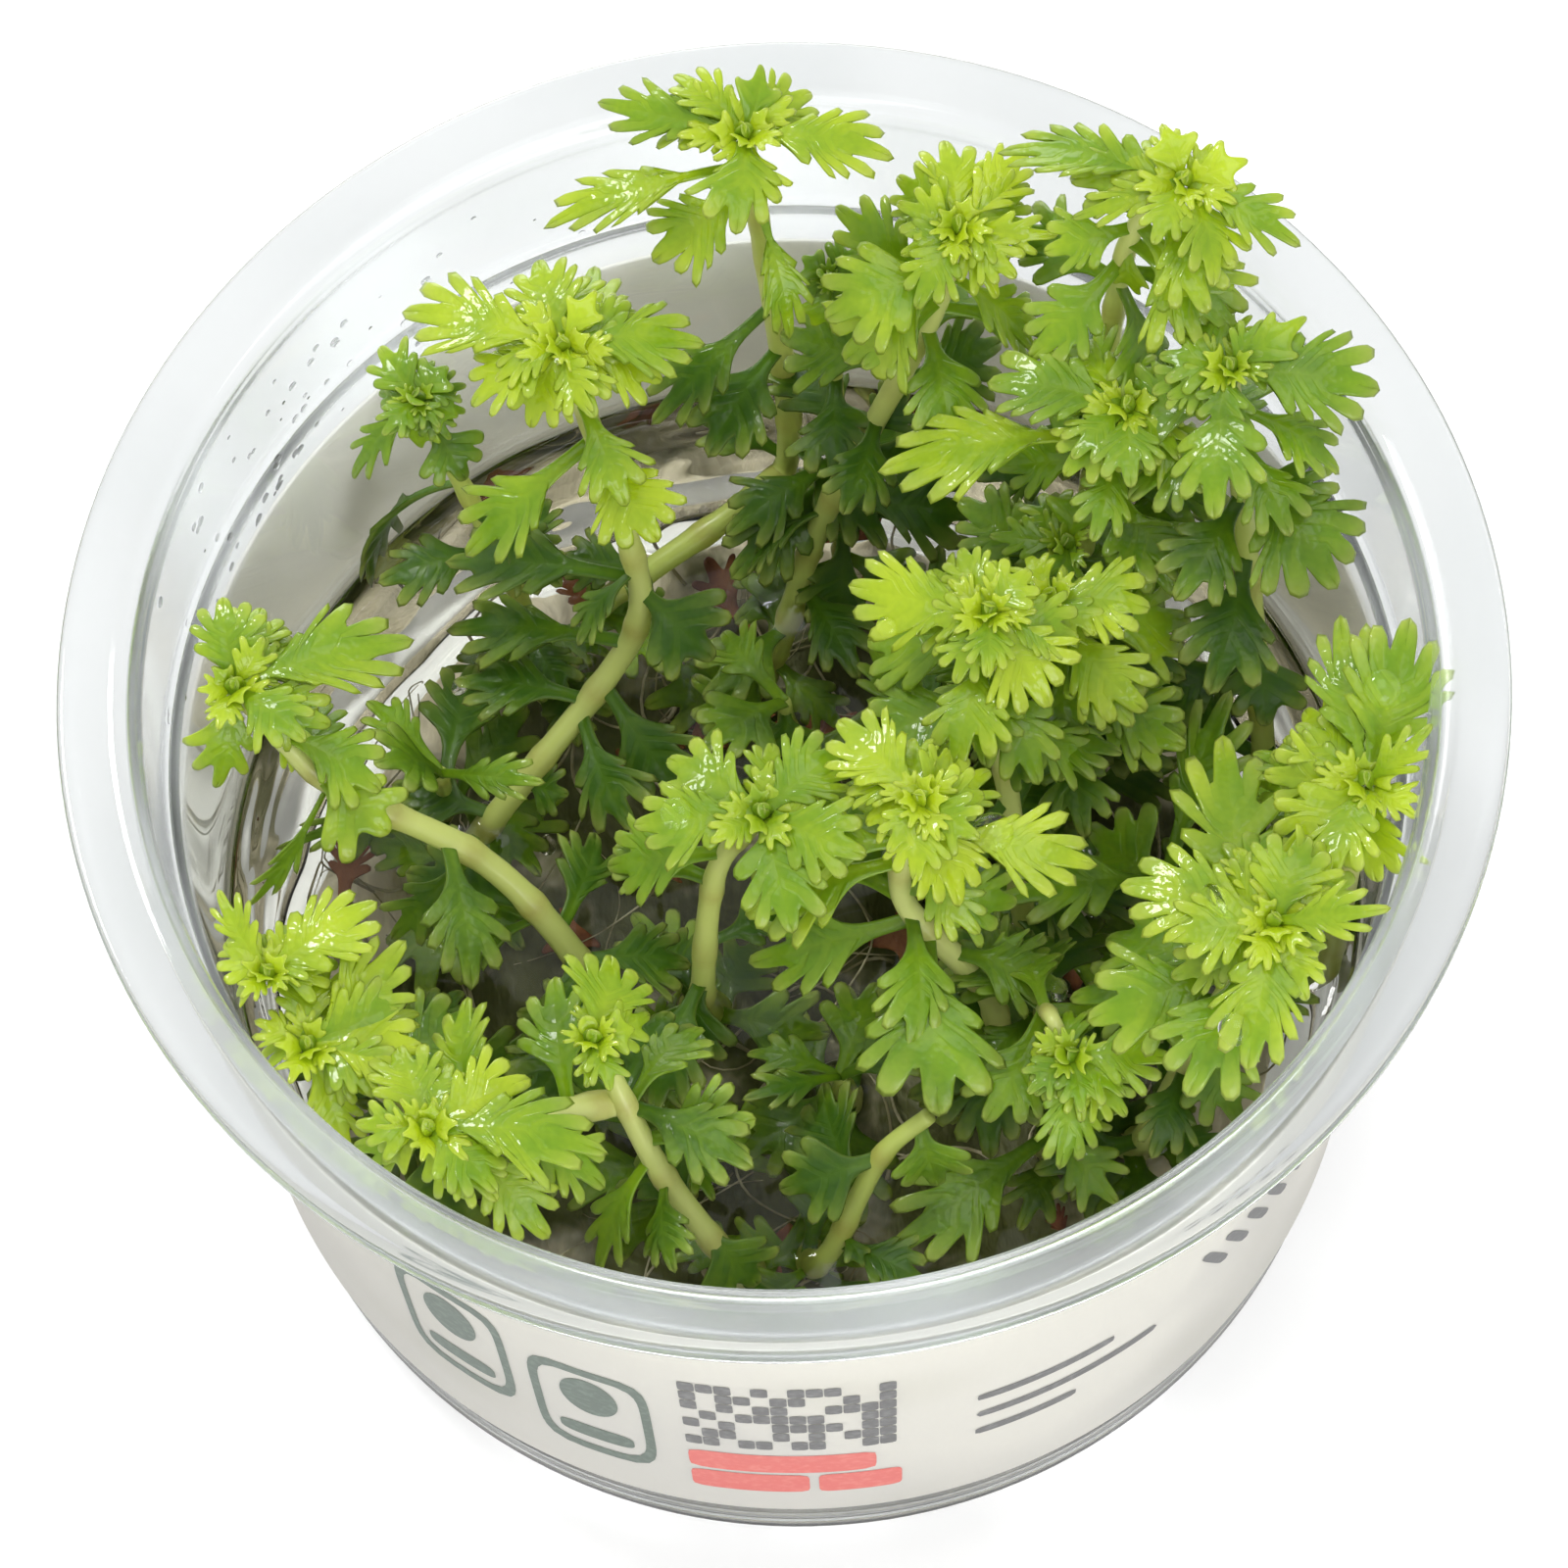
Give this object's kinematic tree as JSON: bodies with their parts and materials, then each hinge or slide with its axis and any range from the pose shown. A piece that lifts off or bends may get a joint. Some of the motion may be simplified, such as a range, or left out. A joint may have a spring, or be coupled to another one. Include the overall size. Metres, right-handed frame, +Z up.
{
  "type": "tissue culture water violet",
  "caption": "Water violet in tissue culture: leafy shoots with lobed leaves standing in shallow water in a clear round cup with a label band.",
  "frame": {"origin": "middle of the cup's flat base", "axes": "+Z up out of the cup; -Y towards the viewer of the picture, +X to the viewer's right"},
  "size_m": [0.0998, 0.0998, 0.0755],
  "materials": {
    "cup_plastic": "clear, slightly milky polypropylene",
    "label_paper": null,
    "water_clear": "clear, faintly brown water",
    "root_fibre": "wet mat of roots and dead leaf ends",
    "stem_green": "wet, smooth, pale green",
    "leaf_fresh": "wet, translucent yellow green",
    "leaf_green": "wet, glossy dark green"
  },
  "bodies": {
    "root": {"cup": "cup_plastic", "label": "label_paper", "root_mat": "root_fibre", "water": "water_clear", "shoot_a_stem": "stem_green", "shoot_a_crown": "leaf_fresh", "shoot_b_stem": "stem_green", "shoot_b_crown": "leaf_fresh", "shoot_c_stem": "stem_green", "shoot_c_crown": "leaf_fresh", "shoot_d_stem": "stem_green", "shoot_d_crown": "leaf_fresh", "shoot_e_stem": "stem_green", "shoot_e_crown": "leaf_fresh", "shoot_e3_stem": "stem_green", "shoot_e3_crown": "leaf_fresh", "shoot_g_stem": "stem_green", "shoot_g_crown": "leaf_fresh", "shoot_h_stem": "stem_green", "shoot_h_crown": "leaf_fresh", "shoot_i_stem": "stem_green", "shoot_i_crown": "leaf_fresh", "shoot_j_stem": "stem_green", "shoot_j_crown": "leaf_fresh", "shoot_js_stem": "stem_green", "shoot_js_crown": "leaf_fresh", "shoot_k_stem": "stem_green", "shoot_k_crown": "leaf_fresh", "shoot_s_stem": "stem_green", "shoot_s_crown": "leaf_green", "shoot_l_stem": "stem_green", "shoot_l_crown": "leaf_fresh", "shoot_m_stem": "stem_green", "shoot_m_crown": "leaf_fresh", "shoot_n_stem": "stem_green", "shoot_n_crown": "leaf_fresh", "shoot_o_stem": "stem_green", "shoot_o_crown": "leaf_fresh", "shoot_p_stem": "stem_green", "shoot_p_crown": "leaf_fresh", "shoot_q_stem": "stem_green", "shoot_q_crown": "leaf_fresh", "shoot_r_stem": "stem_green", "shoot_r_crown": "leaf_green", "shoot_u_stem": "stem_green", "shoot_t_stem": "stem_green", "shoot_t_crown": "leaf_fresh", "shoot_low1_stem": "stem_green", "shoot_low2_stem": "stem_green", "shoot_low3_stem": "stem_green", "shoot_low4_stem": "stem_green", "shoot_low5_stem": "stem_green", "shoot_low6_stem": "stem_green", "shoot_low7_stem": "stem_green"}
  },
  "joints": []
}
